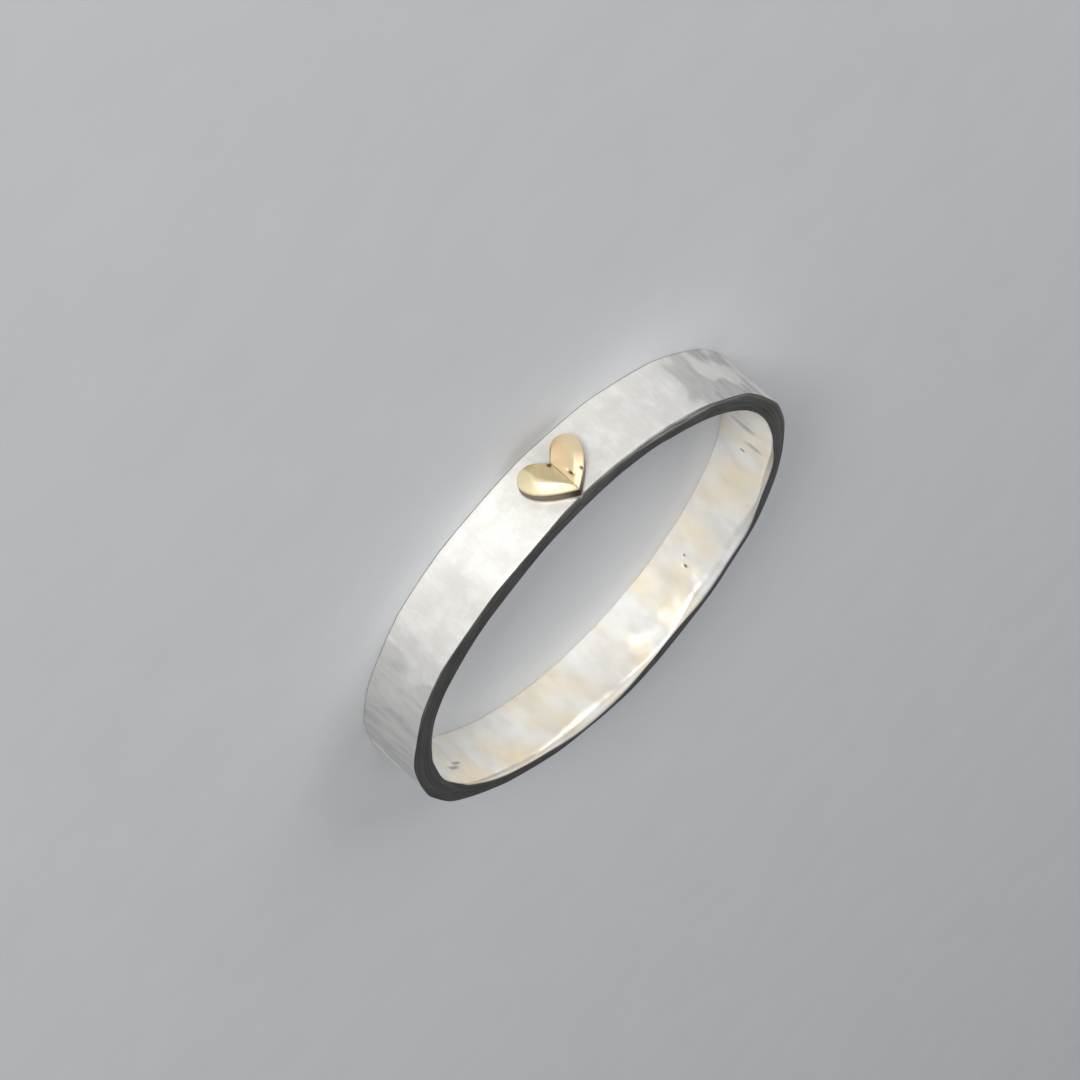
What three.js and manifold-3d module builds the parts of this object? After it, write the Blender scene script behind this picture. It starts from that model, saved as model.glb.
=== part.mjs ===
// A narrow stacking ring in hammered silver with a small gold heart soldered to it.
// The ring lies on one edge: its axis is +Z through the origin, its lower edge is the
// plane z = 0, and the heart faces -Y with its tip towards the upper edge.
// Lengths are millimetres and angles are degrees round the axis from +X.
import * as THREE from 'three';
import { mergeVertices } from 'three/addons/utils/BufferGeometryUtils.js';
import Module from 'manifold-3d';

const BORE_RADIUS = 8.65;
const BAND_RADIUS = 9.55;
const BAND_WIDTH = 2.6;
const CORNER = 0.08;
const BAND_STEPS = 108;
const CORNER_STEPS = 3;
const FACE_STEPS = 3;

// The planishing hammer left broad flats round the outside. reach is a flat's distance
// from the axis at mid width, and lean is how far it tips inwards towards the upper edge.
// FLATNESS is 1 for a plane and 0 for a round, and the ridges between flats are softened.
// A flat's plane is followed no further round than FLAT_SPAN.
const FLATNESS = 0.45;
const RIDGE_SOFTNESS = 0.018;
const FLAT_SPAN = 45;
const FLATS = [
  { angle: 3, reach: 9.62, lean: 1.0 },
  { angle: 21, reach: 9.55, lean: -1.5 },
  { angle: 40, reach: 9.46, lean: 0.8 },
  { angle: 58, reach: 9.42, lean: -0.6 },
  { angle: 77, reach: 9.45, lean: 1.6 },
  { angle: 95, reach: 9.5, lean: -1.2 },
  { angle: 113, reach: 9.44, lean: 0.5 },
  { angle: 132, reach: 9.47, lean: 1.2 },
  { angle: 151, reach: 9.41, lean: -1.4 },
  { angle: 169, reach: 9.46, lean: 0.6 },
  { angle: 187, reach: 9.52, lean: -0.8 },
  { angle: 205, reach: 9.5, lean: 1.4 },
  { angle: 224, reach: 9.46, lean: 0.9 },
  { angle: 243, reach: 9.4, lean: 1.8 },
  { angle: 263, reach: 9.42, lean: 0.6 },
  { angle: 282, reach: 9.46, lean: -0.5 },
  { angle: 302, reach: 9.62, lean: 0.4 },
  { angle: 325, reach: 9.7, lean: -1.6 },
  { angle: 344, reach: 9.68, lean: 2.0 },
];

// The bore was rounded on a mandrel and is still a little out of round. It also swells
// a little towards the finger at mid width.
const BORE_CROWN = 0.06;
const BORE_WAVES = [
  { lobes: 2, height: 0.07, peak: -2 },
  { lobes: 3, height: 0.05, peak: -29 },
  { lobes: 4, height: 0.03, peak: -17 },
];

// The upper edge was filed by hand and rises and dips a little.
const EDGE_WAVES = [
  { lobes: 2, height: 0.02, peak: 70 },
  { lobes: 5, height: 0.025, peak: 12 },
  { lobes: 7, height: 0.012, peak: 33 },
];

// The heart is measured across from its middle line and along from its lobes' centres.
const HEART_ANGLE = 270;
const HEART_SEAT = 9.5;
const HEART_ROOT = 0.35;
const HEART_RIM = 0.54;
const HEART_CROWN = 0.78;
const HEART_MIDDLE = 0.35;
const LOBE_RADIUS = 0.52;
const LOBE_SPREAD = 0.77;
const LOBE_HEIGHT = 1.05;
const NOTCH_RISE = 0.04;
const SIDE_BULGE = 0.72;
const TIP_RISE = 1.5;
const HEART_STEPS = 48;

// The heart's face has a bevel inside its rim, and two planes that fall to a crease. The
// ridges between them draw together from TAPER_START up to the tip, down to TAPER_LEAST.
const BEVEL_SHARE = 0.4;
const RIDGE_SHARE = 0.6;
const CREASE_FLOOR = 0.3;
const TAPER_START = 0.2;
const TAPER_LEAST = 0.1;

// The heart from under its seat, up the wall and over the rim to the middle of its crown.
// share is the part of the way out to the outline, and rise how much of the face's own
// relief stands on the base.
const HEART_RINGS = [
  { share: 0, base: -HEART_ROOT, rise: 0 },
  { share: 0.98, base: -HEART_ROOT, rise: 0 },
  { share: 1.03, base: 0.05, rise: 0 },
  { share: 1, base: HEART_RIM - 0.05, rise: 0 },
  { share: 0.95, base: HEART_RIM, rise: 1 },
  { share: 0.8, base: HEART_RIM, rise: 1 },
  { share: 0.62, base: HEART_RIM, rise: 1 },
  { share: 0.4, base: HEART_RIM, rise: 1 },
  { share: 0.2, base: HEART_RIM, rise: 1 },
  { share: 0, base: HEART_RIM, rise: 1 },
];

const wrap = (degrees) => THREE.MathUtils.euclideanModulo(degrees + 180, 360) - 180;

function waves(table, angle) {
  return table.reduce((sum, { lobes, height, peak }) => {
    const phase = THREE.MathUtils.degToRad(lobes * (angle - peak));
    return sum + height * Math.cos(phase);
  }, 0);
}

// The outside of the band: whichever flat lies nearest the axis here, eased at the ridges.
function outerRadius(angle, z) {
  const above = z - BAND_WIDTH / 2;
  const distance = ({ angle: facing, reach, lean }) => {
    const off = THREE.MathUtils.degToRad(Math.min(Math.abs(wrap(angle - facing)), FLAT_SPAN));
    const plane = reach - above * Math.tan(THREE.MathUtils.degToRad(lean));
    return plane * (1 + FLATNESS * (1 / Math.cos(off) - 1));
  };
  const nearness = FLATS.map((flat) => Math.exp((BAND_RADIUS - distance(flat)) / RIDGE_SOFTNESS));
  return BAND_RADIUS - RIDGE_SOFTNESS * Math.log(nearness.reduce((sum, share) => sum + share));
}

function boreRadius(angle, z) {
  const fromMiddle = (2 * z) / BAND_WIDTH - 1;
  return BORE_RADIUS + waves(BORE_WAVES, angle) + BORE_CROWN * (fromMiddle ** 2 - 0.5);
}

// The band's section as a closed path of distance from the axis and height.
function bandProfile() {
  const corners = [
    { x: BAND_RADIUS - CORNER, y: CORNER, start: -90 },
    { x: BAND_RADIUS - CORNER, y: BAND_WIDTH - CORNER, start: 0 },
    { x: BORE_RADIUS + CORNER, y: BAND_WIDTH - CORNER, start: 90 },
    { x: BORE_RADIUS + CORNER, y: CORNER, start: 180 },
  ];
  const points = [];
  corners.forEach(({ x, y, start }, side) => {
    const from = THREE.MathUtils.degToRad(start);
    const arc = new THREE.EllipseCurve(x, y, CORNER, CORNER, from, from + Math.PI / 2);
    points.push(...arc.getPoints(CORNER_STEPS));
    const isUpright = side % 2 === 0;
    const next = corners[(side + 1) % corners.length];
    for (let step = 1; isUpright && step < FACE_STEPS; step += 1) {
      points.push(new THREE.Vector2(points.at(-1).x, THREE.MathUtils.lerp(y, next.y, step / FACE_STEPS)));
    }
  });
  points.push(points[0].clone());
  return points;
}

// A plain turned ring is spun, then hammered, opened and filed by moving its points.
function bandGeometry() {
  const geometry = new THREE.LatheGeometry(bandProfile(), BAND_STEPS);
  geometry.rotateX(Math.PI / 2);
  const position = geometry.attributes.position;
  const point = new THREE.Vector3();
  for (let i = 0; i < position.count; i += 1) {
    point.fromBufferAttribute(position, i);
    const turn = Math.atan2(point.y, point.x);
    const angle = THREE.MathUtils.radToDeg(turn);
    const share = (Math.hypot(point.x, point.y) - BORE_RADIUS) / (BAND_RADIUS - BORE_RADIUS);
    const radius = THREE.MathUtils.lerp(boreRadius(angle, point.z), outerRadius(angle, point.z), share);
    const height = point.z * (1 + waves(EDGE_WAVES, angle) / BAND_WIDTH);
    position.setXYZ(i, radius * Math.cos(turn), radius * Math.sin(turn), height);
  }
  return geometry;
}

// The heart's outline: out of the notch, round a lobe and down a bulging side to the tip,
// then back up the other side.
function heartOutline() {
  const outermost = LOBE_SPREAD + LOBE_RADIUS;
  const toNotch = Math.hypot(LOBE_SPREAD, NOTCH_RISE);
  const start = Math.atan2(NOTCH_RISE, -LOBE_SPREAD) + Math.acos(LOBE_RADIUS / toNotch);
  const touch = new THREE.Vector2(LOBE_RADIUS, 0).rotateAround(new THREE.Vector2(), start);
  const path = new THREE.Path();
  path.moveTo(0, NOTCH_RISE);
  path.lineTo(LOBE_SPREAD + touch.x, touch.y);
  path.absarc(LOBE_SPREAD, 0, LOBE_RADIUS, start, 2 * Math.PI, false);
  path.quadraticCurveTo(outermost, SIDE_BULGE, 0, TIP_RISE);
  path.quadraticCurveTo(-outermost, SIDE_BULGE, -outermost, 0);
  path.absarc(-LOBE_SPREAD, 0, LOBE_RADIUS, Math.PI, 3 * Math.PI - start, false);
  path.lineTo(0, NOTCH_RISE);
  return path.getSpacedPoints(HEART_STEPS);
}

// The relief of the heart's face, from 0 at its rim to 1 on its ridges.
function faceRelief(across, along, share) {
  const drawn = (TIP_RISE - along) / (TIP_RISE - TAPER_START);
  const taper = THREE.MathUtils.clamp(drawn, TAPER_LEAST, 1);
  const ridge = RIDGE_SHARE * (LOBE_SPREAD + LOBE_RADIUS) * taper;
  const bevel = (1 - share) / BEVEL_SHARE;
  const inner = THREE.MathUtils.lerp(CREASE_FLOOR, 1, Math.abs(across) / ridge);
  return Math.min(bevel, inner, 1);
}

// The heart is turned as a disc of rings, drawn out to its outline and bent to the band.
function heartGeometry() {
  const outline = heartOutline();
  const profile = HEART_RINGS.map(({ share, base }) => new THREE.Vector2(share, base));
  const geometry = new THREE.LatheGeometry(profile, HEART_STEPS);
  const position = geometry.attributes.position;
  for (let i = 0; i < position.count; i += 1) {
    const edge = outline[Math.floor(i / HEART_RINGS.length)];
    const { share, base, rise } = HEART_RINGS[i % HEART_RINGS.length];
    const across = share * edge.x;
    const along = THREE.MathUtils.lerp(HEART_MIDDLE, edge.y, share);
    const relief = rise * faceRelief(across, along, share) * (HEART_CROWN - HEART_RIM);
    const radius = HEART_SEAT + base + relief;
    const turn = THREE.MathUtils.degToRad(HEART_ANGLE) + across / HEART_SEAT;
    position.setXYZ(i, radius * Math.cos(turn), radius * Math.sin(turn), LOBE_HEIGHT + along);
  }
  return geometry;
}

// Points nearer than this are one point.
const WELD_DISTANCE = 1e-4;

const wasm = await Module();
wasm.setup();

// A closed geometry as a solid, without the slivers where a turned shape meets its axis.
function toSolid(geometry) {
  geometry.deleteAttribute('normal');
  geometry.deleteAttribute('uv');
  const merged = mergeVertices(geometry, WELD_DISTANCE);
  const corners = merged.index.array;
  const triVerts = [];
  for (let i = 0; i < corners.length; i += 3) {
    const triangle = corners.slice(i, i + 3);
    if (new Set(triangle).size === 3) triVerts.push(...triangle);
  }
  return new wasm.Manifold(
    new wasm.Mesh({
      numProp: 3,
      vertProperties: merged.attributes.position.array,
      triVerts: Uint32Array.from(triVerts),
    }),
  );
}

function toGeometry(solid) {
  const { vertProperties, triVerts } = solid.getMesh();
  const geometry = new THREE.BufferGeometry();
  geometry.setAttribute('position', new THREE.BufferAttribute(vertProperties, 3));
  geometry.setIndex(new THREE.BufferAttribute(triVerts, 1));
  geometry.computeVertexNormals();
  return geometry;
}

const silver = new THREE.MeshStandardMaterial({ color: 0xdedcd8, roughness: 0.3, metalness: 1 });

// Solder joins the heart to the band, so the two are one piece of metal.
const metal = toSolid(bandGeometry()).add(toSolid(heartGeometry()));
const ring = new THREE.Mesh(toGeometry(metal), silver);
ring.name = 'ring';

const stackableRing = new THREE.Group();
stackableRing.add(ring);

export default stackableRing;
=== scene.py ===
"""The looks of a hammered silver stacking ring with a small gold heart.

The ring lies on its edge on a pale floor. Its shape is worked out in millimetres, in the
part's own frame, and becomes metres when a mesh is made. Angles are degrees round the
ring's axis from +X, and the heart faces -Y, at 270.
"""
import math
from functools import partial
from types import SimpleNamespace

import bpy
import numpy as np
from mathutils import Euler, Matrix, Vector


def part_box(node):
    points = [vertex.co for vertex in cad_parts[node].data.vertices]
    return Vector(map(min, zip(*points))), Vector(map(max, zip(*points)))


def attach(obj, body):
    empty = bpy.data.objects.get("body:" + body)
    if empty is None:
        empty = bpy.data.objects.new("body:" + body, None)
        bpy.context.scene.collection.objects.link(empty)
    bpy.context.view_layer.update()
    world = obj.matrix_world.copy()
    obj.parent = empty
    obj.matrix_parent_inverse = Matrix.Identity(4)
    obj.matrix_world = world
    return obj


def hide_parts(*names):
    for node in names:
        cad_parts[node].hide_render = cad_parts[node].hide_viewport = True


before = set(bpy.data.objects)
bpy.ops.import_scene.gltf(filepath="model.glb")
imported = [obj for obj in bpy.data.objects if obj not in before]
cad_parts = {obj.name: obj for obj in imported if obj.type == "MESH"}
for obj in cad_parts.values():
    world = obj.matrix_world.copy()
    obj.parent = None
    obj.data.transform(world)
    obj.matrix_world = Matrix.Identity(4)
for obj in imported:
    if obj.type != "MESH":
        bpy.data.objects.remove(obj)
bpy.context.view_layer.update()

MM = 0.001
FLOOR_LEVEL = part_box("ring")[0][2]

# ---------------------------------------------------------------- driving dimensions, mm
BORE_RADIUS = 8.65
BAND_RADIUS = 9.55
BAND_WIDTH = 2.6
FLATNESS = 0.45
RIDGE_SOFTNESS = 0.018

# The planishing hammer's broad flats: the way each faces, its distance from the axis at
# mid width, and how many degrees it tips inwards towards the upper edge. A flat's plane
# is followed no further round than FLAT_SPAN.
FLAT_SPAN = 45.0
FLATS = [
    dict(angle=3, reach=9.62, lean=1.0),
    dict(angle=21, reach=9.55, lean=-1.5),
    dict(angle=40, reach=9.46, lean=0.8),
    dict(angle=58, reach=9.42, lean=-0.6),
    dict(angle=77, reach=9.45, lean=1.6),
    dict(angle=95, reach=9.5, lean=-1.2),
    dict(angle=113, reach=9.44, lean=0.5),
    dict(angle=132, reach=9.47, lean=1.2),
    dict(angle=151, reach=9.41, lean=-1.4),
    dict(angle=169, reach=9.46, lean=0.6),
    dict(angle=187, reach=9.52, lean=-0.8),
    dict(angle=205, reach=9.5, lean=1.4),
    dict(angle=224, reach=9.46, lean=0.9),
    dict(angle=243, reach=9.4, lean=1.8),
    dict(angle=263, reach=9.42, lean=0.6),
    dict(angle=282, reach=9.46, lean=-0.5),
    dict(angle=302, reach=9.62, lean=0.4),
    dict(angle=325, reach=9.7, lean=-1.6),
    dict(angle=344, reach=9.68, lean=2.0),
]

# The bore is a little out of round: each row is a wave with so many lobes round the ring.
BORE_WAVES = [
    dict(lobes=2, height=0.07, peak=-2),
    dict(lobes=3, height=0.05, peak=-29),
    dict(lobes=4, height=0.03, peak=-17),
]

# The bore swells a little towards the finger at mid width.
BORE_CROWN = 0.06

# How the filed upper edge rises and dips.
EDGE_WAVES = [
    dict(lobes=2, height=0.02, peak=70),
    dict(lobes=5, height=0.025, peak=12),
    dict(lobes=7, height=0.012, peak=33),
]

# How far the filed upper edge leans across the wall, as a slope.
EDGE_LEAN = [
    dict(lobes=3, height=0.02, peak=100),
    dict(lobes=8, height=0.025, peak=20),
    dict(lobes=13, height=0.02, peak=5),
]

# How far the upper edge falls away towards the outside, and where across the wall that
# starts, from 0 at its middle to 1 at the outside.
EDGE_FALL = 0.03
FALL_START = 0.1

# The corners of the band's section, and where round the ring the filing made them softer.
CORNER = 0.035
SOFT_OUTER_CORNERS = [
    dict(angle=244, spread=18, extra=0.15),
    dict(angle=110, spread=60, extra=0.05),
    dict(angle=330, spread=12, extra=0.03),
]
SOFT_INNER_CORNERS = [
    dict(angle=45, spread=14, extra=0.22),
    dict(angle=79, spread=17, extra=0.52),
    dict(angle=120, spread=8, extra=0.42),
    dict(angle=138, spread=11, extra=0.46),
    dict(angle=164, spread=8, extra=0.2),
]

# The heart is measured across from its middle line and along from its lobes' centres.
HEART_ANGLE = 270
HEART_SEAT = 9.5
HEART_ROOT = 0.3
HEART_RIM = 0.54
HEART_CROWN = 0.78
HEART_MIDDLE = 0.35
LOBE_RADIUS = 0.52
LOBE_SPREAD = 0.77
LOBE_HEIGHT = 1.05
NOTCH_RISE = 0.04
SIDE_BULGE = 0.72
TIP_RISE = 1.5

# The heart's face: a bevel inside its rim, and two planes that fall to a crease. The
# ridges between them draw together from TAPER_START up to the tip, down to TAPER_LEAST.
# The crease and the edges between the planes are a little rounded.
BEVEL_SHARE = 0.4
RIDGE_SHARE = 0.6
CREASE_FLOOR = 0.3
CREASE_ROUND = 0.01
FACET_SOFTNESS = 0.08
TAPER_START = 0.2
TAPER_LEAST = 0.1


def wrap(degrees):
    return (degrees + 180.0) % 360.0 - 180.0


def waves(table, angle):
    return sum(
        row["height"] * np.cos(np.radians(row["lobes"] * (angle - row["peak"])))
        for row in table
    )


def softened(table, angle):
    return CORNER + sum(
        row["extra"] * np.exp(-((wrap(angle - row["angle"]) / row["spread"]) ** 2))
        for row in table
    )


# ---------------------------------------------------------------- the band's surfaces
def make_blows(seed, count, size, depth):
    """Small marks of a hammer or mandrel: place, size across and along, and depth."""
    random = np.random.default_rng(seed)
    return [
        dict(
            angle=360.0 * (i + random.uniform(0.1, 0.9)) / count,
            height=random.uniform(0.1, BAND_WIDTH - 0.1),
            across=size * random.uniform(0.6, 1.4),
            along=size * random.uniform(0.6, 1.6),
            twist=random.uniform(-0.6, 0.6),
            depth=depth * random.uniform(0.4, 1.0),
        )
        for i in range(count)
    ]


# Flats painted greyer as a painted reflection, and made shinier than the rest: the way each
# faces, how many degrees it reaches to either side, and how strongly it shows.
GREY_REFLECTION_FLATS = [
    dict(angle=352, reach=13, tone=0.65),
    dict(angle=337, reach=13.5, tone=0.45),
    dict(angle=214, reach=9, tone=0.85),
    dict(angle=225, reach=9.5, tone=0.58),
    dict(angle=160, reach=9, tone=0.4),
    dict(angle=95, reach=10, tone=0.5),
    dict(angle=48, reach=8, tone=0.35),
]

PLANISHING = make_blows(seed=4, count=64, size=1.0, depth=0.016)
MANDREL_MARKS = make_blows(seed=9, count=80, size=0.75, depth=0.035)

# Nicks in the bore: place, size round and across the band, depth, and how dark they are.
NICKS = [
    dict(angle=123.5, height=1.33, wide=0.07, tall=0.11, depth=0.04, dirt=1.0),
    dict(angle=125.5, height=1.05, wide=0.06, tall=0.08, depth=0.03, dirt=0.8),
    dict(angle=26, height=1.74, wide=0.5, tall=0.11, depth=0.05, dirt=0.7),
    dict(angle=29.5, height=1.54, wide=0.4, tall=0.08, depth=0.04, dirt=0.7),
    dict(angle=164, height=1.25, wide=0.07, tall=0.14, depth=0.04, dirt=0.9),
    dict(angle=168, height=1.7, wide=0.13, tall=0.5, depth=0.03, dirt=0.45),
    dict(angle=174, height=1.2, wide=0.2, tall=0.7, depth=0.04, dirt=0.5),
]


def marks(table, angle, height, radius):
    """How deep the marks cut here. Each is flat in the middle and eased at its rim."""
    total = np.zeros(np.broadcast(angle, height).shape)
    for mark in table:
        across = np.radians(wrap(angle - mark["angle"])) * radius
        along = height - mark["height"]
        turned = across + mark["twist"] * along
        reach = (turned / mark["across"]) ** 2 + (along / mark["along"]) ** 2
        total += mark["depth"] * np.exp(-(reach**2))
    return total


def nicks(angle, height):
    total = np.zeros(np.broadcast(angle, height).shape)
    for nick in NICKS:
        across = np.radians(wrap(angle - nick["angle"])) * BORE_RADIUS / nick["wide"]
        along = (height - nick["height"]) / nick["tall"]
        total += nick["depth"] * np.exp(-(across**2) - along**2)
    return total


def outer_radius(angle, height):
    """The outside: whichever flat lies nearest the axis here, eased at the ridges."""
    above = height - BAND_WIDTH / 2
    nearness = 0.0
    for flat in FLATS:
        off = np.radians(np.minimum(np.abs(wrap(angle - flat["angle"])), FLAT_SPAN))
        plane = flat["reach"] - above * math.tan(math.radians(flat["lean"]))
        distance = plane * (1 + FLATNESS * (1 / np.cos(off) - 1))
        nearness = nearness + np.exp((BAND_RADIUS - distance) / RIDGE_SOFTNESS)
    radius = BAND_RADIUS - RIDGE_SOFTNESS * np.log(nearness)
    return radius - marks(PLANISHING, angle, height, BAND_RADIUS)


def bore_radius(angle, height):
    from_middle = (height - BAND_WIDTH / 2) / (BAND_WIDTH / 2)
    radius = BORE_RADIUS + waves(BORE_WAVES, angle) + BORE_CROWN * (from_middle**2 - 0.5)
    return radius + marks(MANDREL_MARKS, angle, height, BORE_RADIUS) + nicks(angle, height)


# ---------------------------------------------------------------- mesh making
def make_mesh(name, points, quads, material):
    """A smooth piece from points in millimetres."""
    mesh = bpy.data.meshes.new(name)
    mesh.from_pydata((points * MM).tolist(), [], quads)
    mesh.materials.append(material)
    mesh.shade_smooth()
    mesh.update()
    piece = bpy.data.objects.new(name, mesh)
    bpy.context.scene.collection.objects.link(piece)
    return piece


def around(radius, angle, height):
    turn = np.radians(angle)
    return np.stack([radius * np.cos(turn), radius * np.sin(turn), height + 0 * turn], -1)


BAND_STEPS = 1080
FACE_STEPS = dict(outer=26, top=9, bore=20, bottom=5)
CORNER_STEPS = 6


def band_points():
    """Rows of points, one closed section of the band for each step round the ring."""
    angle = np.linspace(0, 360, BAND_STEPS, endpoint=False)[:, None]
    top = BAND_WIDTH + waves(EDGE_WAVES, angle)
    lean = waves(EDGE_LEAN, angle)
    outer_corner = softened(SOFT_OUTER_CORNERS, angle)
    inner_corner = softened(SOFT_INNER_CORNERS, angle)
    strips = []

    def face(start, end, steps):
        return start + (end - start) * np.arange(steps) / steps

    def corner(radius, height, size, start):
        turn = np.radians(start + 90 * np.arange(CORNER_STEPS) / CORNER_STEPS)
        strips.append((radius + size * np.cos(turn), height + size * np.sin(turn)))

    low = CORNER
    outer_high = top - outer_corner
    inner_high = top - inner_corner
    outside = outer_radius(angle, outer_high)
    inside = bore_radius(angle, inner_high)
    middle = (outside + inside) / 2
    foot_out = outer_radius(angle, low)
    foot_in = bore_radius(angle, low)

    height = face(low, outer_high, FACE_STEPS["outer"])
    strips.append((outer_radius(angle, height), height))
    corner(outside - outer_corner, outer_high, outer_corner, 0)
    radius = face(outside - outer_corner, inside + inner_corner, FACE_STEPS["top"])
    strips.append((radius, top + 0 * radius))
    corner(inside + inner_corner, inner_high, inner_corner, 90)
    height = face(inner_high, low, FACE_STEPS["bore"])
    strips.append((bore_radius(angle, height), height))
    corner(foot_in + CORNER, low, CORNER, 180)
    radius = face(foot_in + CORNER, foot_out - CORNER, FACE_STEPS["bottom"])
    strips.append((radius, 0 * radius))
    corner(foot_out - CORNER, low, CORNER, 270)

    radius = np.concatenate([part for part, _ in strips], axis=1)
    height = np.concatenate([part + 0 * angle for _, part in strips], axis=1)

    # the filed slope of the upper edge, which fades out quickly below it
    across = (radius - middle) / (outside - middle)
    lift = lean * (radius - middle) - EDGE_FALL * np.clip(across - FALL_START, 0, 1) ** 2
    height = height + lift * np.clip(height / top, 0, 1) ** 4
    return around(radius, angle + 0 * radius, height)


def ring_quads(rows, columns):
    """Quads between neighbouring rows, closed both ways, facing out."""
    quads = []
    for row in range(rows):
        here, there = row * columns, (row + 1) % rows * columns
        for column in range(columns):
            beside = (column + 1) % columns
            quads.append((here + column, there + column, there + beside, here + beside))
    return quads


def make_band(material):
    points = band_points()
    rows, columns, _ = points.shape
    return make_mesh("band", points.reshape(-1, 3), ring_quads(rows, columns), material)


# ---------------------------------------------------------------- the heart
HEART_STEPS = 288
OUTLINE_STEPS = 100
CROWN_RINGS = 32
RIM_RINGS = 6
WALL_RINGS = 8

# The rim is rounded over from RIM_SHARE of the way out, and the wall spreads at its foot.
RIM_SHARE = 0.95
RIM_ROUND = 0.05
FOOT_SPREAD = 0.05
FOOT_DROP = 0.04

# Pits and nicks in the heart's face: place across and along, size each way and depth.
PITS = [
    dict(across=-0.2, along=0.88, wide=0.06, tall=0.16, depth=0.06),
    dict(across=-0.6, along=1.0, wide=0.05, tall=0.06, depth=0.05),
    dict(across=0.06, along=0.1, wide=0.09, tall=0.12, depth=0.1),
]


def heart_outline():
    """Out of the notch, round a lobe and down a bulging side to the tip, then mirrored."""
    outermost = LOBE_SPREAD + LOBE_RADIUS
    to_notch = math.hypot(LOBE_SPREAD, NOTCH_RISE)
    start = math.atan2(NOTCH_RISE, -LOBE_SPREAD) + math.acos(LOBE_RADIUS / to_notch)
    turn = np.linspace(start, 2 * math.pi, OUTLINE_STEPS)
    lobe = np.stack([np.cos(turn), np.sin(turn)], -1) * LOBE_RADIUS + (LOBE_SPREAD, 0)
    share = np.linspace(0, 1, OUTLINE_STEPS)[1:, None]
    side = (1 - share) ** 2 * (outermost, 0) + 2 * share * (1 - share) * (outermost, SIDE_BULGE)
    side = side + share**2 * (0, TIP_RISE)
    right = np.concatenate([[(0.0, NOTCH_RISE)], lobe, side])
    left = right[::-1] * (-1, 1)
    path = np.concatenate([right, left[1:]])
    walked = np.concatenate([[0], np.cumsum(np.hypot(*np.diff(path, axis=0).T))])
    steps = np.linspace(0, walked[-1], HEART_STEPS, endpoint=False)
    return np.stack([np.interp(steps, walked, path[:, i]) for i in (0, 1)], -1)


def crown_height(across, along, share):
    """The face: the lower of its bevel and its inner planes, a little rounded, and its pits."""
    outermost = LOBE_SPREAD + LOBE_RADIUS
    taper = np.clip((TIP_RISE - along) / (TIP_RISE - TAPER_START), TAPER_LEAST, 1)
    inner = np.sqrt((across / (RIDGE_SHARE * outermost * taper)) ** 2 + CREASE_ROUND)
    inner = CREASE_FLOOR + (1 - CREASE_FLOOR) * inner
    rises = ((1 - share) / BEVEL_SHARE, inner, 1.0)
    nearness = sum(np.exp(-rise / FACET_SOFTNESS) for rise in rises)
    lowest = -FACET_SOFTNESS * np.log(nearness)
    height = HEART_RIM + (HEART_CROWN - HEART_RIM) * np.maximum(lowest, 0)
    for pit in PITS:
        reach = ((across - pit["across"]) / pit["wide"]) ** 2
        reach = reach + ((along - pit["along"]) / pit["tall"]) ** 2
        height = height - pit["depth"] * np.exp(-reach)
    return height


def rim_height(across, along, share, drop):
    return crown_height(across, along, share) - drop


def heart_ring(outline, share, height):
    """The outline drawn in to a share of its size, at a height above the heart's seat."""
    across = share * outline[:, 0]
    along = HEART_MIDDLE + share * (outline[:, 1] - HEART_MIDDLE)
    angle = HEART_ANGLE + np.degrees(across / HEART_SEAT)
    if callable(height):
        height = height(across, along)
    return around(HEART_SEAT + height, angle, LOBE_HEIGHT + along)


def heart_rings():
    """Rings of points: out over the crown, round the rim, down the wall into the band."""
    outline = heart_outline()
    rings = []
    for step in range(1, CROWN_RINGS + 1):
        share = RIM_SHARE * step / CROWN_RINGS
        crown = partial(crown_height, share=share)
        rings.append(heart_ring(outline, share, crown))
    for step in range(1, RIM_RINGS + 1):
        turn = math.pi / 2 * step / RIM_RINGS
        share = RIM_SHARE + (1 - RIM_SHARE) * math.sin(turn)
        rim = partial(rim_height, share=share, drop=RIM_ROUND * (1 - math.cos(turn)))
        rings.append(heart_ring(outline, share, rim))
    wall = HEART_RIM - RIM_ROUND
    for step in range(1, WALL_RINGS + 1):
        down = step / WALL_RINGS
        share = 1 + FOOT_SPREAD * down**3
        rings.append(heart_ring(outline, share, wall * (1 - down) - FOOT_DROP * down))
    rings.append(heart_ring(outline, 1.0, -HEART_ROOT))
    return rings


def make_heart(material):
    rings = heart_rings()
    angle = np.array([HEART_ANGLE])
    middle = crown_height(np.array([0.0]), np.array([HEART_MIDDLE]), 0.0)
    top = around(HEART_SEAT + middle, angle, LOBE_HEIGHT + HEART_MIDDLE)
    foot = around(np.array([HEART_SEAT - HEART_ROOT]), angle, LOBE_HEIGHT + HEART_MIDDLE)
    points = np.concatenate([*rings, top, foot])
    top_index = len(points) - 2
    foot_index = len(points) - 1
    last = (len(rings) - 1) * HEART_STEPS
    faces = []
    for i in range(HEART_STEPS):
        j = (i + 1) % HEART_STEPS
        faces.append((top_index, i, j))
        faces.append((foot_index, last + j, last + i))
        for inner in range(0, last, HEART_STEPS):
            outer = inner + HEART_STEPS
            faces.append((inner + i, outer + i, outer + j, inner + j))
    return make_mesh("heart", points, faces, material)


# ---------------------------------------------------------------- material nodes
def add_node(tree, kind, inputs=None, output=0, **settings):
    """A shader node with its settings; inputs are sockets to join or values to set."""
    node = tree.nodes.new("ShaderNode" + kind)
    for name, value in settings.items():
        setattr(node, name, value)
    for name, value in (inputs or {}).items():
        if isinstance(value, bpy.types.NodeSocket):
            tree.links.new(value, node.inputs[name])
        else:
            node.inputs[name].default_value = value
    return node.outputs[output]


def calculate(tree, operation, first, second=0.0):
    return add_node(tree, "Math", {0: first, 1: second}, operation=operation)


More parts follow.
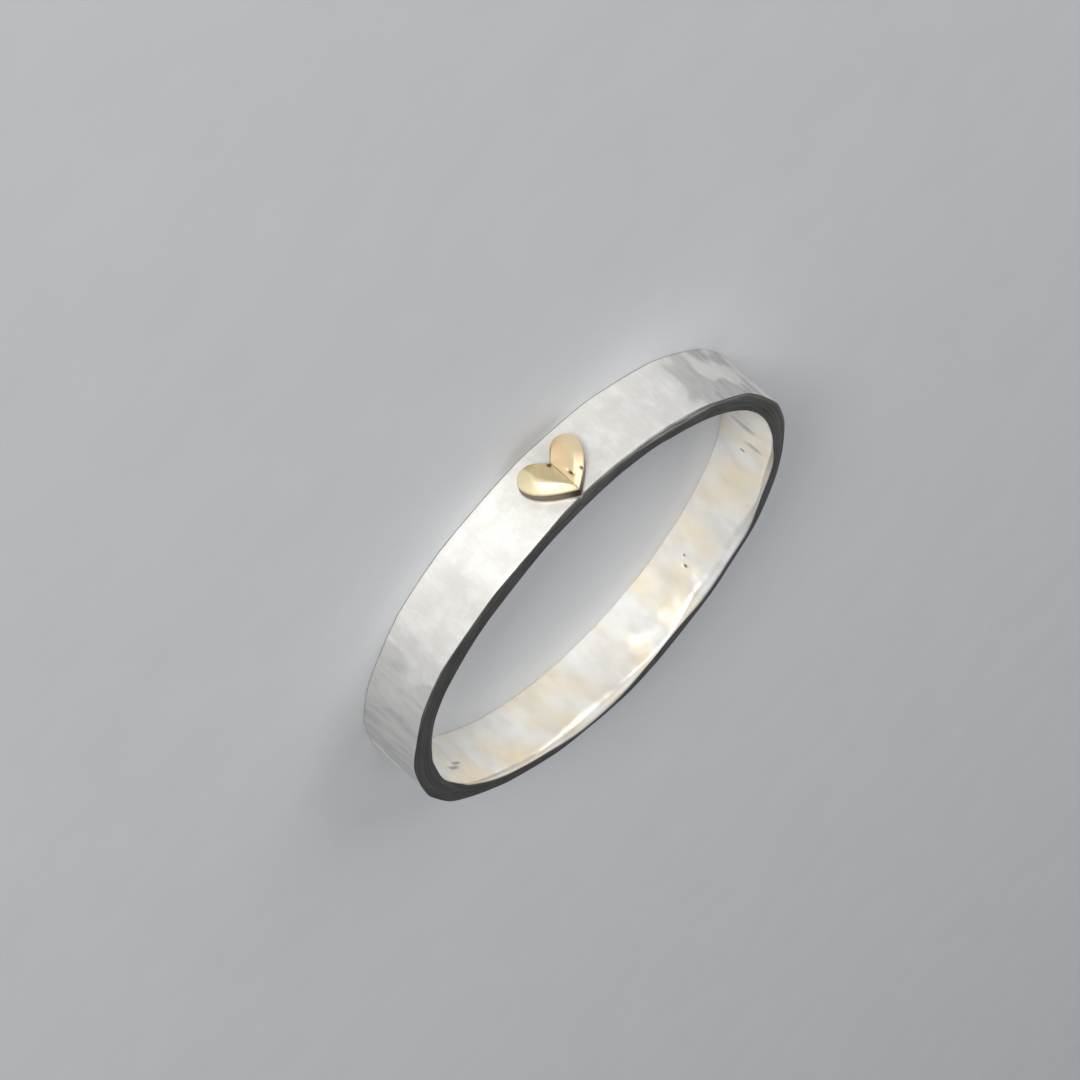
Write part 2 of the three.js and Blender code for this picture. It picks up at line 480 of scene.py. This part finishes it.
def plus(tree, first, second):
    return calculate(tree, "ADD", first, second)


def times(tree, first, second):
    return calculate(tree, "MULTIPLY", first, second)


def scaled(tree, vector, by):
    return add_node(tree, "VectorMath", {0: vector, 1: by}, operation="MULTIPLY")


def length(tree, vector):
    return add_node(tree, "VectorMath", {0: vector}, output=1, operation="LENGTH")


def dot(tree, first, second):
    return add_node(tree, "VectorMath", {0: first, 1: second}, output=1, operation="DOT_PRODUCT")


def separated(tree, vector):
    node = tree.nodes.new("ShaderNodeSeparateXYZ")
    tree.links.new(vector, node.inputs[0])
    return node.outputs["X"], node.outputs["Y"], node.outputs["Z"]


def ranged(tree, value, low, high, to_low=0.0, to_high=1.0):
    """A smooth step from to_low, where the value is low, to to_high, where it is high."""
    inputs = {"Value": value, "From Min": low, "From Max": high, "To Min": to_low, "To Max": to_high}
    return add_node(tree, "MapRange", inputs, interpolation_type="SMOOTHSTEP")


def noise(tree, place, scale, detail, roughness, squeeze=1.0):
    """Noise over a place in millimetres. A squeeze under 1 draws it out along the axis."""
    inputs = {"Vector": scaled(tree, place, (1, 1, squeeze)), "Scale": scale}
    inputs.update({"Detail": detail, "Roughness": roughness})
    return add_node(tree, "TexNoise", inputs)


def mixed(tree, share, first, second):
    inputs = {0: share, 6: first, 7: second}
    return add_node(tree, "Mix", inputs, output=2, data_type="RGBA")


def mixed_value(tree, share, first, second):
    return add_node(tree, "Mix", {0: share, 2: first, 3: second}, data_type="FLOAT")


def new_material(name):
    material = bpy.data.materials.new(name)
    material.use_nodes = True
    tree = material.node_tree
    return material, tree, tree.nodes["Principled BSDF"]


def position_mm(tree):
    place = add_node(tree, "TexCoord", output=3)
    return scaled(tree, place, (1 / MM,) * 3)


def surface_place(tree):
    """Where a point is, in millimetres, and how squarely its surface faces out (1) or in (-1)."""
    place = position_mm(tree)
    x, y, z = separated(tree, place)
    flat = scaled(tree, place, (1, 1, 0))
    radial = add_node(tree, "VectorMath", {0: flat}, operation="NORMALIZE")
    outward = dot(tree, add_node(tree, "NewGeometry", output=1), radial)
    distance = length(tree, flat)
    return SimpleNamespace(
        place=place, x=x, y=y, z=z, radial=radial, distance=distance, outward=outward
    )


def bump(tree, height, distance):
    return add_node(tree, "Bump", {"Strength": 1.0, "Distance": distance, "Height": height})


# How far in from the surface the dirt in a nick or pit is coloured, how ragged its rim is,
# and where the rim starts and ends, in shares of the spot's size.
DIRT_DEPTH = 0.4
RAGGEDNESS = 0.8
SPOT_RIM = (1.6, 0.8)


def spot_mask(tree, place, angle, radius, height, size, ragged):
    """1 inside a small oval with a ragged rim, and 0 outside it."""
    inputs = {"Vector": place, "Angle": -math.radians(angle)}
    turned = add_node(tree, "VectorRotate", inputs, rotation_type="Z_AXIS")
    away = add_node(tree, "VectorMath", {0: turned, 1: (radius, 0, height)}, operation="SUBTRACT")
    stretched = scaled(tree, away, (1 / DIRT_DEPTH, 1 / size["wide"], 1 / size["tall"]))
    reach = plus(tree, length(tree, stretched), times(tree, ragged, RAGGEDNESS))
    return ranged(tree, reach, *SPOT_RIM)


# ---------------------------------------------------------------- silver
FROSTED_DULL = (0.84, 0.825, 0.79, 1)
FROSTED_BRIGHT = (0.98, 0.97, 0.94, 1)
BRUSHED = (0.84, 0.83, 0.8, 1)
# The grey flats' two tones are a painted reflection of dark surroundings.
PAINTED_REFLECTION_DARK = (0.42, 0.425, 0.43, 1)
PAINTED_REFLECTION_LIGHT = (0.66, 0.65, 0.635, 1)
# The edges are painted dark, a painted reflection, with lighter streaks along the file lines.
FILE_LINE_SHADE_DARK = (0.25, 0.245, 0.235, 1)
FILE_LINE_SHADE_LIGHT = (0.48, 0.47, 0.45, 1)
BORE_WHITE = (0.99, 0.985, 0.97, 1)
# The bore's warm, cool and dull clouds are painted reflections.
BORE_WARM_REFLECTION = (1.0, 0.88, 0.67, 1)
BORE_COOL_REFLECTION = (0.84, 0.88, 0.89, 1)
BORE_DULL_REFLECTION = (0.74, 0.71, 0.65, 1)
NICK_DIRT = (0.25, 0.22, 0.19, 1)
DULL_REFLECTION_SHARE = 0.36

# The frosted skin of pickled silver scatters light, so the metal isn't wholly a mirror.
OUTSIDE_METAL = 0.6
BORE_METAL = 0.5
EDGE_ROUGHNESS = 0.4
GREY_FLAT_ROUGHNESS = 0.32

# How squarely out the surface faces where the outside starts and is whole, and the bore.
OUTSIDE_FACING = (0.92, 0.99)
BORE_FACING = (-0.08, -0.4)

# How far the rims of the flats with the painted grey reflection wander and fade, in the cosine of the
# angle to a flat.
GREY_FLAT_WANDER = 0.09
GREY_FLAT_FADE = 0.009

# The brushing's slope off the axis, and the file lines to a millimetre.
BRUSH_SLANT = 0.22
FILE_LINES = 14.0
SILVER_SCRATCH_DEPTH = 0.006


def grey_reflection_mask(tree, at):
    """How strongly the flats' painted grey reflection shows here."""
    wander = noise(tree, at.place, scale=0.7, detail=1.0, roughness=0.4)
    wander = times(tree, calculate(tree, "SUBTRACT", wander, 0.5), GREY_FLAT_WANDER)
    mask = 0.0
    for flat in GREY_REFLECTION_FLATS:
        facing = tuple(around(1.0, flat["angle"], 0.0))
        nearness = plus(tree, dot(tree, at.radial, facing), wander)
        rim = math.cos(math.radians(flat["reach"]))
        inside = times(tree, ranged(tree, nearness, rim, rim + GREY_FLAT_FADE), flat["tone"])
        mask = calculate(tree, "MAXIMUM", inside, mask)
    return mask


def outside_colour(tree, place, streaks, grey_reflection):
    cloudy = noise(tree, place, scale=1.4, detail=5.0, roughness=0.65)
    frosted = mixed(tree, ranged(tree, cloudy, 0.35, 0.65), FROSTED_DULL, FROSTED_BRIGHT)
    satin = mixed(tree, ranged(tree, streaks, 0.35, 0.7), frosted, BRUSHED)
    # painted grey reflection on the flats
    grey = mixed(tree, ranged(tree, streaks, 0.35, 0.65), PAINTED_REFLECTION_DARK, PAINTED_REFLECTION_LIGHT)
    return mixed(tree, grey_reflection, satin, grey)


def bore_colour(tree, place):
    """White with painted warm, cool and dull reflection clouds, and dirt in its nicks."""

    def clouds(scale, squeeze, low, high):
        shape = noise(tree, place, scale, detail=3.0, roughness=0.5, squeeze=squeeze)
        return ranged(tree, shape, low, high)

    warm_reflection = clouds(scale=0.5, squeeze=0.7, low=0.38, high=0.66)
    cool_reflection = clouds(scale=0.5, squeeze=0.5, low=0.5, high=0.8)
    dull_reflection = clouds(scale=1.3, squeeze=0.6, low=0.4, high=0.7)
    # painted reflections of the polished bore
    colour = mixed(tree, warm_reflection, BORE_WHITE, BORE_WARM_REFLECTION)
    colour = mixed(tree, cool_reflection, colour, BORE_COOL_REFLECTION)
    colour = mixed(tree, times(tree, dull_reflection, DULL_REFLECTION_SHARE), colour, BORE_DULL_REFLECTION)
    ragged = noise(tree, place, scale=3.0, detail=3.0, roughness=0.6)
    for nick in NICKS:
        spot = spot_mask(tree, place, nick["angle"], BORE_RADIUS, nick["height"], nick, ragged)
        colour = mixed(tree, times(tree, spot, nick["dirt"]), colour, NICK_DIRT)
    return colour


def silver_material():
    """Silver: frosted and brushed across outside, filed on the edges with a painted dark reflection,
    polished inside.
    """
    material, tree, shader = new_material("planished_silver")
    at = surface_place(tree)
    is_outside = ranged(tree, at.outward, *OUTSIDE_FACING)
    is_bore = ranged(tree, at.outward, *BORE_FACING)

    def by_face(mix, outside, edge, bore):
        return mix(tree, is_bore, mix(tree, is_outside, edge, outside), bore)

    # brushing across the band at a slant, file lines round the edges, waves of the polish
    lifted = plus(tree, at.z, times(tree, at.x, BRUSH_SLANT))
    brushed = add_node(tree, "CombineXYZ", {0: at.x, 1: at.y, 2: lifted})
    hairs = noise(tree, brushed, scale=9.0, detail=4.0, roughness=0.6, squeeze=0.1)
    streaks = noise(tree, brushed, scale=3.0, detail=4.0, roughness=0.6, squeeze=0.24)
    filed = add_node(tree, "CombineXYZ", {0: times(tree, at.distance, FILE_LINES), 1: at.x})
    lines = noise(tree, filed, scale=1.0, detail=3.0, roughness=0.6)
    swirl = noise(tree, at.place, scale=0.9, detail=3.0, roughness=0.5, squeeze=0.6)
    grain = noise(tree, at.place, scale=16.0, detail=2.0, roughness=0.6)

    grey_reflection = grey_reflection_mask(tree, at)
    outside = outside_colour(tree, at.place, streaks, grey_reflection)
    # the edges' painted dark reflection, streaked along the file lines
    edge = mixed(tree, ranged(tree, lines, 0.35, 0.7), FILE_LINE_SHADE_DARK, FILE_LINE_SHADE_LIGHT)
    colour = by_face(mixed, outside, edge, bore_colour(tree, at.place))
    tree.links.new(colour, shader.inputs["Base Color"])

    metal = by_face(mixed_value, OUTSIDE_METAL, 1.0, BORE_METAL)
    tree.links.new(metal, shader.inputs["Metallic"])

    satin = ranged(tree, streaks, 0.25, 0.8, 0.46, 0.58)
    satin = mixed_value(tree, grey_reflection, satin, GREY_FLAT_ROUGHNESS)
    polish = ranged(tree, swirl, 0.35, 0.65, 0.28, 0.4)
    gloss = by_face(mixed_value, satin, EDGE_ROUGHNESS, polish)
    tree.links.new(gloss, shader.inputs["Roughness"])

    brushing = plus(tree, hairs, times(tree, streaks, 0.8))
    outside_height = plus(tree, brushing, times(tree, grain, 0.15))
    bore_height = plus(tree, times(tree, hairs, 0.5), times(tree, swirl, 6.0))
    height = by_face(mixed_value, outside_height, lines, bore_height)
    tree.links.new(bump(tree, height, SILVER_SCRATCH_DEPTH * MM), shader.inputs["Normal"])
    return material


# ---------------------------------------------------------------- gold
# Lit and shaded copies of one gold for the heart's planes: painted light and shade.
LEFT_OUTER_LIT_GOLD = (0.95, 0.77, 0.5, 1)
RIGHT_OUTER_LIT_GOLD = (0.97, 0.86, 0.56, 1)
LEFT_INNER_SHADED_GOLD = (0.94, 0.71, 0.43, 1)
RIGHT_INNER_SHADED_GOLD = (0.7, 0.57, 0.33, 1)
GROOVE_BROWN = (0.34, 0.23, 0.12, 1)
PIT_DIRT = (0.16, 0.1, 0.06, 1)
WALL_DARK = (0.13, 0.085, 0.05, 1)
SOLDER = (0.7, 0.68, 0.62, 1)
GROOVE_SHARE = 0.6
GOLD_METAL = 0.6
WALL_ROUGHNESS = 0.45
GOLD_SCRATCH_DEPTH = 0.003

# The inner planes reach this far from the middle line, and draw in towards the tip.
INNER_REACH = 0.78
INNER_SLOPE = 0.58

# Where the groove's darkening fades in, away from the middle line; where the wall's does,
# by how squarely out it faces; and where the solder does, above the heart's seat.
GROOVE_RIM = (0.07, 0.03)
WALL_FACING = (0.6, 0.3)
SOLDER_TOP = 0.12
SOLDER_FULL = 0.03


def lobe_colour(tree, at, side, blotch):
    """Painted lit and shaded tones on the outer and inner planes of the two lobes, the right one's
    paler outside and darker inside with painted shade.
    """
    to_tip = calculate(tree, "SUBTRACT", LOBE_HEIGHT + TIP_RISE, at.z)
    ridge = calculate(tree, "MINIMUM", times(tree, to_tip, INNER_SLOPE), INNER_REACH)
    inner = ranged(tree, calculate(tree, "SUBTRACT", ridge, side), -0.04, 0.08)
    right = ranged(tree, at.x, -0.02, 0.1)
    # painted shade on the right lobe's inner plane
    painted_shade = times(tree, right, ranged(tree, blotch, 0.25, 0.6, 0.45, 1.0))
    lit_gold = mixed(tree, right, LEFT_OUTER_LIT_GOLD, RIGHT_OUTER_LIT_GOLD)
    shaded_gold = mixed(tree, painted_shade, LEFT_INNER_SHADED_GOLD, RIGHT_INNER_SHADED_GOLD)
    return mixed(tree, inner, lit_gold, shaded_gold)


def gold_material():
    """Pale gold with painted lit and shaded planes, darker along its crease, dirt in its pits, dark
    down its wall, and soldered.
    """
    material, tree, shader = new_material("pale_gold")
    at = surface_place(tree)
    side = calculate(tree, "ABSOLUTE", at.x)
    rubs = noise(tree, at.place, scale=5.0, detail=3.0, roughness=0.5, squeeze=0.5)
    blotch = noise(tree, at.place, scale=3.0, detail=3.0, roughness=0.6)

    colour = lobe_colour(tree, at, side, blotch)
    groove = ranged(tree, plus(tree, side, times(tree, blotch, 0.06)), *GROOVE_RIM)
    colour = mixed(tree, times(tree, groove, GROOVE_SHARE), colour, GROOVE_BROWN)
    for pit in PITS:
        angle = HEART_ANGLE + math.degrees(pit["across"] / HEART_SEAT)
        height = LOBE_HEIGHT + pit["along"]
        spot = spot_mask(tree, at.place, angle, HEART_SEAT + HEART_RIM, height, pit, blotch)
        colour = mixed(tree, spot, colour, PIT_DIRT)
    wall = ranged(tree, at.outward, *WALL_FACING)
    colour = mixed(tree, wall, colour, WALL_DARK)
    solder = ranged(tree, at.distance, HEART_SEAT + SOLDER_TOP, HEART_SEAT + SOLDER_FULL)
    colour = mixed(tree, solder, colour, SOLDER)
    tree.links.new(colour, shader.inputs["Base Color"])

    shader.inputs["Metallic"].default_value = GOLD_METAL
    gloss = mixed_value(tree, wall, ranged(tree, rubs, 0.3, 0.75, 0.29, 0.42), WALL_ROUGHNESS)
    tree.links.new(gloss, shader.inputs["Roughness"])
    tree.links.new(bump(tree, rubs, GOLD_SCRATCH_DEPTH * MM), shader.inputs["Normal"])
    return material


# ---------------------------------------------------------------- stage, light and camera
# The camera's place is in millimetres, and the rest of the stage is in metres.
CAMERA = dict(place=(29.58, -129.46, 47.86), turn=12.894, tilt=20.162, roll=131.457, field=16.0)
SENSOR_WIDTH = 36.0
NEAREST = 0.01
FURTHEST = 20.0

FLOOR_SIZE = 6.0
FLOOR_ROUGHNESS = 0.8
FLOOR_SHEEN = 0.2
FLOOR_DARK = (0.7, 0.715, 0.74, 1)
FLOOR_LIGHT = (0.76, 0.775, 0.795, 1)

WARM = (1.0, 0.98, 0.94)
SOFT_WARM = (1.0, 0.985, 0.96)
COOL = (0.97, 0.985, 1.0)
LIGHTS = [
    dict(name="key", place=(0.15, -0.37, 0.09), wide=0.12, tall=0.07, power=1.12, colour=WARM),
    dict(name="left_card", place=(-0.35, -0.3, 0.2), wide=0.3, tall=0.3, power=0.65, colour=SOFT_WARM),
    dict(name="back_card", place=(-0.3, 0.3, 0.35), wide=0.3, tall=0.3, power=0.18, colour=COOL),
    dict(name="top_box", place=(0.05, -0.05, 0.6), wide=0.6, tall=0.6, power=0.6, colour=COOL),
]

# The pale surroundings have a dark flag behind the ring, for its edge to mirror. Each pair
# is where the flag starts and is whole: towards the back, up from its foot, down from its
# top, in shares of a direction of length 1.
FLAG_BACK = (0.1, 0.45)
FLAG_FOOT = (0.07, 0.14)
FLAG_TOP = (0.85, 0.4)

# They also have a dark round patch low in front, for the polished bore to mirror: the way
# to it, and how many degrees round that way it is whole and ends.
PATCH_WAY = (0.27, -0.93, 0.25)
PATCH_WHOLE = 13
PATCH_END = 19
SKY_LOW = (0.62, 0.64, 0.67, 1)
SKY_HIGH = (0.8, 0.82, 0.85, 1)
FLAG_BLACK = (0.06, 0.06, 0.065, 1)
SKY_STRENGTH = 0.31


def floor_material():
    """A smooth pale studio board with the faintest mottle."""
    material, tree, shader = new_material("pale_board")
    mottle = noise(tree, position_mm(tree), scale=0.25, detail=4.0, roughness=0.6)
    colour = mixed(tree, mottle, FLOOR_DARK, FLOOR_LIGHT)
    tree.links.new(colour, shader.inputs["Base Color"])
    shader.inputs["Roughness"].default_value = FLOOR_ROUGHNESS
    shader.inputs["Specular IOR Level"].default_value = FLOOR_SHEEN
    return material


def make_floor():
    half = FLOOR_SIZE / 2
    corners = [(-half, -half, 0), (half, -half, 0), (half, half, 0), (-half, half, 0)]
    mesh = bpy.data.meshes.new("floor")
    mesh.from_pydata(corners, [], [(0, 1, 2, 3)])
    mesh.materials.append(floor_material())
    floor = bpy.data.objects.new("floor", mesh)
    floor.location.z = FLOOR_LEVEL
    bpy.context.scene.collection.objects.link(floor)


def make_lights():
    centre = Vector((0, 0, BAND_WIDTH / 2 * MM))
    for row in LIGHTS:
        lamp = bpy.data.lights.new(row["name"], "AREA")
        lamp.shape = "RECTANGLE"
        lamp.size = row["wide"]
        lamp.size_y = row["tall"]
        lamp.energy = row["power"]
        lamp.color = row["colour"]
        light = bpy.data.objects.new(row["name"], lamp)
        light.location = row["place"]
        light.rotation_euler = (centre - light.location).to_track_quat("-Z", "Y").to_euler()
        bpy.context.scene.collection.objects.link(light)


def make_world():
    """Soft pale surroundings with the dark flag and patch in them."""
    world = bpy.data.worlds.new("studio")
    world.use_nodes = True
    tree = world.node_tree
    direction = add_node(tree, "TexCoord", output=0)
    _, back, up = separated(tree, direction)
    behind = times(tree, ranged(tree, back, *FLAG_BACK), ranged(tree, up, *FLAG_FOOT))
    flag = times(tree, behind, ranged(tree, up, *FLAG_TOP))
    whole = math.cos(math.radians(PATCH_WHOLE))
    end = math.cos(math.radians(PATCH_END))
    patch = ranged(tree, dot(tree, direction, PATCH_WAY), end, whole)
    dark = calculate(tree, "MAXIMUM", flag, patch)
    pale = mixed(tree, ranged(tree, up, -0.1, 0.8), SKY_LOW, SKY_HIGH)
    background = tree.nodes["Background"]
    tree.links.new(mixed(tree, dark, pale, FLAG_BLACK), background.inputs["Color"])
    background.inputs["Strength"].default_value = SKY_STRENGTH
    bpy.context.scene.world = world


def make_camera():
    data = bpy.data.cameras.new("camera")
    data.sensor_width = SENSOR_WIDTH
    data.lens = data.sensor_width / 2 / math.tan(math.radians(CAMERA["field"] / 2))
    data.clip_start = NEAREST
    data.clip_end = FURTHEST
    camera = bpy.data.objects.new("camera", data)
    aim = Euler((math.radians(90 - CAMERA["tilt"]), 0, math.radians(CAMERA["turn"])), "XYZ")
    rolled = aim.to_matrix() @ Matrix.Rotation(math.radians(CAMERA["roll"]), 3, "Z")
    camera.rotation_mode = "QUATERNION"
    camera.rotation_quaternion = rolled.to_quaternion()
    camera.location = Vector(CAMERA["place"]) * MM
    bpy.context.scene.collection.objects.link(camera)
    bpy.context.scene.camera = camera


make_camera()
band = make_band(silver_material())
heart = make_heart(gold_material())
for piece, metal in ((band, "silver"), (heart, "gold")):
    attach(piece, "root")
    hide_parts("ring")
make_floor()
make_lights()
make_world()
bpy.context.scene.view_settings.view_transform = "Standard"
